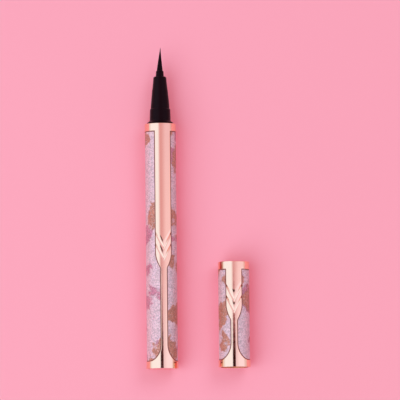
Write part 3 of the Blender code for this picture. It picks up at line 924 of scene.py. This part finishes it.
def brush(finish, laid):
    """Bundle of fine fibres round a core, brought to a point."""
    random = np.random.default_rng(BRUSH_SEED)
    points = []
    faces = []
    for count, reach in ((RIM_FIBRES, 1.0), (INNER_FIBRES, INNER_REACH)):
        for number in range(count):
            turn = 2 * math.pi * (number + random.uniform(-FIBRE_SCATTER, FIBRE_SCATTER)) / count
            length = 1 - FIBRE_SHORTFALL * random.uniform(0, 1) ** 3
            sway = random.uniform(-FIBRE_SWAY, FIBRE_SWAY)
            add_fibre(points, faces, turn, reach, length, FIBRE_THICKNESS, sway)
    add_fibre(points, faces, 0.0, 0.0, 1.0, MIDDLE_FIBRE_THICKNESS, 0.0)
    loops = []
    for share in np.linspace(0, BRUSH_CORE_END, BRUSH_CORE_ROWS):
        radius = brush_radius(share) * BRUSH_CORE_SHARE
        height = BRUSH_FOOT + BRUSH_LENGTH * share
        loop = []
        for step in range(BRUSH_CORE_STEPS):
            angle = 2 * math.pi * step / BRUSH_CORE_STEPS
            loop.append((brush_centre(share) + radius * math.sin(angle), -radius * math.cos(angle), height))
        loops.append(loop)
    foot = len(points)
    add_loft(points, faces, loops)
    faces.append(tuple(range(foot, foot + BRUSH_CORE_STEPS)))
    faces.append(tuple(range(len(points) - BRUSH_CORE_STEPS, len(points))))
    return new_piece("brush_fibres", points, faces, finish, "pen", laid, "brush_tip")


# Black front and tail


def grip_corners():
    """Outline of the black moulding, from the mouth of its nose down the outside and up the bore."""
    corners = [
        (SOCKET_RADIUS, HOLDER_FOOT, 0.0),
        (SOCKET_RADIUS + NOSE_LAND, HOLDER_FOOT, FINE_ROUND),
        (NOSE_RADIUS, HOLDER_FOOT - NOSE_ROUND * NOSE_SHOULDER, SHOULDER_ROUND),
    ]
    for along, gained in reversed(CONE_SHARES):
        radius = CONE_RADIUS + (NOSE_RADIUS - CONE_RADIUS) * gained
        corners.append((radius, CONE_FOOT + BAND_STEP + (CONE_LENGTH - BAND_STEP) * along, FINE_ROUND))
    return corners + [
        (BAND_RADIUS - BAND_TAPER, CONE_FOOT, STEP_ROUND),
        (BAND_RADIUS, BAND_FOOT, SOFT_ROUND),
        (FLANGE_RADIUS - FLANGE_REACH * FLARE_BEND, (FLANGE_FOOT + FLANGE_RIM + BAND_FOOT) / 2, SOFT_ROUND),
        (FLANGE_RADIUS, FLANGE_FOOT + FLANGE_RIM, STEP_ROUND),
        (FLANGE_RADIUS, FLANGE_FOOT, 0.0),
        (SPIGOT_RADIUS, FLANGE_FOOT, 0.0),
        (SPIGOT_RADIUS, BARREL_LENGTH - SPIGOT_LENGTH, SOFT_ROUND),
        (FEED_BORE, BARREL_LENGTH - SPIGOT_LENGTH, 0.0),
        (FEED_BORE, HOLDER_FOOT - SOCKET_DEPTH, 0.0),
        (SOCKET_RADIUS, HOLDER_FOOT - SOCKET_DEPTH, 0.0),
    ]


def holder_corners():
    top = HOLDER_FOOT + HOLDER_REACH
    return [
        (HOLDER_BORE, top, 0.0),
        (HOLDER_TIP_RADIUS, top, HOLDER_ROUND),
        (HOLDER_RADIUS, HOLDER_FOOT, FINE_ROUND),
        (HOLDER_RADIUS, HOLDER_FOOT - HOLDER_SHANK, 0.0),
        (HOLDER_BORE, HOLDER_FOOT - HOLDER_SHANK, 0.0),
    ]


def tail_corners():
    return [
        (0.0, BUTTON_THICKNESS, 0.0),
        (TUBE_RADIUS, BUTTON_THICKNESS, RIM_ROUND / 2),
        (TUBE_RADIUS, 0.0, RIM_ROUND),
        (0.0, 0.0, 0.0),
    ]


# Light, floor and camera


def studio_world():
    """Soft studio all round: what gloss shows is cream on the left, pink on the right, dim overhead.

    A direction's part along the pen is small all over the gold and grows from its tail to its head.
    """
    world = bpy.data.worlds.new("studio")
    bpy.context.scene.world = world
    world.use_nodes = True
    tree = world.node_tree
    direction = tree.nodes.new("ShaderNodeTexCoord").outputs["Generated"]
    parts = add(tree, "ShaderNodeSeparateXYZ", inputs={"Vector": direction})
    across, along, up = parts.outputs["X"], parts.outputs["Y"], parts.outputs["Z"]

    headward = ease(tree, along, *TAIL_TO_MIDST)
    right = blend_colours(tree, headward, RIGHT_TAIL, RIGHT_MIDST)
    right = blend_colours(tree, ease(tree, along, *MIDST_TO_HEAD), right, RIGHT_HEAD)
    middle = blend_colours(tree, headward, MIDDLE_TAIL, MIDDLE_HEAD)
    seen = blend_colours(tree, ease(tree, across, *MIDDLE_TO_RIGHT), middle, right)
    seen = blend_colours(tree, ease(tree, across, *LEFT_TO_MIDDLE), LEFT_CREAM, seen)
    far_tail = blend_colours(tree, 1.0, seen, FAR_TAIL_TINT, "MULTIPLY")
    seen = blend_colours(tree, ease(tree, along, *FAR_TAIL), far_tail, seen)
    low = blend_colours(tree, 1.0, seen, LOW_TINT, "MULTIPLY")
    seen = blend_colours(tree, ease(tree, up, *LOW), low, seen)

    # Painted reflection: a dark line that only gloss shows down the gold, red towards the head, with a black
    # core towards the tail
    beside = maths(tree, "ABSOLUTE", maths(tree, "SUBTRACT", across, STREAK_CENTRE))
    main = ease(tree, along, *STREAK_MAIN_END, STREAK_MAIN_SHARE, 0.0)
    extra = ease(tree, along, *STREAK_EXTRA_END, STREAK_EXTRA_SHARE, 0.0)
    streak = maths(tree, "MULTIPLY", maths(tree, "ADD", extra, main), ease(tree, along, *STREAK_START))
    streak = maths(tree, "MULTIPLY", streak, ease(tree, beside, *STREAK_SIDES, 1.0, 0.0))
    seen = blend_colours(tree, streak, seen, STREAK_RED)
    black = ease(tree, along, *BLACK_END, 1.0, 0.0)
    black = maths(tree, "MULTIPLY", black, ease(tree, along, *BLACK_START))
    black = maths(tree, "MULTIPLY", black, ease(tree, beside, *BLACK_SIDES, 1.0, 0.0))
    seen = blend_colours(tree, black, seen, STREAK_BLACK)

    # All else is lit by the plain room, also where gloss throws light on the paper
    path = tree.nodes.new("ShaderNodeLightPath")
    gloss = maths(tree, "MAXIMUM", path.outputs["Is Glossy Ray"], path.outputs["Is Transmission Ray"])
    direct = ease(tree, path.outputs["Diffuse Depth"], 0.0, 1.0, 1.0, 0.0)
    shown = blend_colours(tree, maths(tree, "MULTIPLY", gloss, direct), ROOM_GREY, seen)
    feed(tree, tree.nodes["Background"].inputs["Color"], shown)


def soft_lamp(name, place, size, power):
    """Square lamp that faces the object and that gloss doesn't show."""
    light = bpy.data.lights.new(name, "AREA")
    light.shape = "SQUARE"
    light.size = size
    light.energy = power
    lamp = bpy.data.objects.new(name, light)
    lamp.location = place
    lamp.rotation_euler = (-Vector(place)).to_track_quat("-Z", "Y").to_euler()
    lamp.visible_glossy = False
    bpy.context.scene.collection.objects.link(lamp)


def paper_floor(reach, material):
    mesh = bpy.data.meshes.new("floor")
    corners = [(-reach, -reach, 0), (reach, -reach, 0), (reach, reach, 0), (-reach, reach, 0)]
    mesh.from_pydata(corners, [], [(0, 1, 2, 3)])
    mesh.materials.append(material)
    floor = bpy.data.objects.new("floor", mesh)
    bpy.context.scene.collection.objects.link(floor)


def photograph_camera():
    """Camera above the object, a little tilted, framed as the photograph."""
    camera = bpy.data.cameras.new("camera")
    camera.lens = CAMERA_LENS
    camera.sensor_width = CAMERA_SENSOR
    camera.clip_start = 0.05
    camera.clip_end = 50.0
    view = bpy.data.objects.new("camera", camera)
    aimed = Matrix.Translation(CAMERA_TARGET) @ Matrix.Rotation(math.pi / 2 - CAMERA_ELEVATION, 4, "X")
    back = Matrix.Translation((0, 0, CAMERA_DISTANCE))
    view.matrix_world = aimed @ back @ Matrix.Rotation(CAMERA_ROLL, 4, "Z")
    bpy.context.scene.collection.objects.link(view)
    bpy.context.scene.camera = view


# Building


def laid_along(node, tail, roll):
    """Matrix that lays an upright piece along +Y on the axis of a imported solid, rolled about it."""
    low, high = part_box(node)
    axis = Vector(((low.x + high.x) / 2, tail, (low.z + high.z) / 2))
    return Matrix.Translation(axis) @ Matrix.Rotation(roll, 4, "Y") @ Matrix.Rotation(-math.pi / 2, 4, "X")


def build_pen(finishes):
    laid = laid_along("barrel_shell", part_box("barrel_shell")[0].y, PEN_ROLL)
    collar = [
        (BARREL_RADIUS, BARREL_LENGTH - COLLAR_HEIGHT + END_OUTLINE_GAP, 0.0),
        (BARREL_RADIUS, BARREL_LENGTH, RIM_ROUND),
        (TUBE_BORE, BARREL_LENGTH, RIM_ROUND / 2),
        (TUBE_BORE, BARREL_LENGTH - COLLAR_LIP, 0.0),
        (SHELL_BORE, BARREL_LENGTH - COLLAR_LIP, 0.0),
    ]
    gold, film = finishes["gold"], finishes["pen_film"]
    pierced_shell(
        "barrel_shell_fine", BARREL_LENGTH, PEN_STRIP_LENGTH, collar, gold, "pen", laid, "barrel_shell"
    )
    for back, side in enumerate(("right", "left")):
        node = f"barrel_panel_{side}"
        film_panel(f"{node}_fine", BARREL_LENGTH, PEN_STRIP_LENGTH, back, film, "pen", laid, node)
    turned("grip_fine", grip_corners(), finishes["black"], "pen", laid, "grip_section")
    turned("holder_fine", holder_corners(), finishes["black"], "pen", laid, "tip_holder")
    turned("tail_button_fine", tail_corners(), gold, "pen", laid, "tail_button")
    brush(finishes["bristle"], laid)


def build_cap(finishes):
    laid = laid_along("cap_shell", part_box("cap_shell")[0].y, 0.0)
    closed_end = [
        (BARREL_RADIUS, CAP_LENGTH - COLLAR_HEIGHT + END_OUTLINE_GAP, 0.0),
        (BARREL_RADIUS, CAP_LENGTH, RIM_ROUND),
        (0.0, CAP_LENGTH, 0.0),
    ]
    gold, film = finishes["gold"], finishes["cap_film"]
    pierced_shell(
        "cap_shell_fine", CAP_LENGTH, CAP_STRIP_LENGTH, closed_end, gold, "cap", laid, "cap_shell"
    )
    for back, side in enumerate(("right", "left")):
        node = f"cap_panel_{side}"
        film_panel(f"{node}_fine", CAP_LENGTH, CAP_STRIP_LENGTH, back, film, "cap", laid, node)


def dress_nodes(nodes, finishes):
    """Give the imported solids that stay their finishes."""
    for finish, names in finishes["kept"]:
        for name in names:
            nodes[name].data.materials.clear()
            nodes[name].data.materials.append(finish)


def make_finishes():
    """All finishes: with their slots for the new pieces, and with node names for the kept solids."""
    effects = {
        "handling_marks": handling_marks_group(),
        "mould_grain": mould_grain_group(),
        "glitter_flecks": glitter_flecks_group(),
        "ragged_patches": patch_group(),
        "fibre_lines": fibre_lines_group(),
    }
    tube, shader = moulded(effects, "tube_brown", TUBE_BROWN, roughness=0.6)
    shader.inputs["Specular IOR Level"].default_value = 0.1
    white, _ = moulded(effects, "liner_white", LINER_WHITE, roughness=0.42)
    soft, _ = moulded(
        effects, "stopper_soft", STOPPER_GREY, roughness=0.55, grain=3500.0, relief=SOFT_GRAIN_RELIEF
    )
    ink = fibrous(effects, "ink_fibre", INK_BLACK, roughness=0.75, scale=5000.0)
    bristle = fibrous(effects, "bristle_black", BRISTLE_BLACK, roughness=0.45, scale=9000.0)
    return {
        "gold": Finish("rose_gold", rose_gold(effects)),
        "pen_film": Finish("glitter", glitter(effects, "glitter_pen", PEN_FILM_OFFSET)),
        "cap_film": Finish("glitter", glitter(effects, "glitter_cap", CAP_FILM_OFFSET)),
        "black": Finish("black_plastic", black_plastic(effects)),
        "bristle": Finish("black_bristle", bristle),
        "kept": [
            (tube, ["barrel_tube"]),
            (ink, ["ink_reservoir", "feed_rod"]),
            (clear_film(effects), ["reservoir_film"]),
            (soft, ["tail_plug", "inner_cap"]),
            (white, ["cap_liner"]),
        ],
    }


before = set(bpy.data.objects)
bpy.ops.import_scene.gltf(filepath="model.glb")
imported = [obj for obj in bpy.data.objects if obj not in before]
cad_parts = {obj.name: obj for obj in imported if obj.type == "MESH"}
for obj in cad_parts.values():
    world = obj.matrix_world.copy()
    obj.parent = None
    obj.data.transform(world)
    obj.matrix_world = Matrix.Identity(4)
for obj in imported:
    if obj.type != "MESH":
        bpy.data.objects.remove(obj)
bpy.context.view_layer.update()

finishes = make_finishes()
dress_nodes(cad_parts, finishes)
build_pen(finishes)
build_cap(finishes)

paper_floor(FLOOR_REACH, pink_paper())
studio_world()
soft_lamp("left_softbox", LEFT_LAMP, LEFT_LAMP_SIZE, LEFT_LAMP_POWER)
soft_lamp("right_softbox", RIGHT_LAMP, RIGHT_LAMP_SIZE, RIGHT_LAMP_POWER)
photograph_camera()
bpy.context.scene.view_settings.view_transform = "Standard"
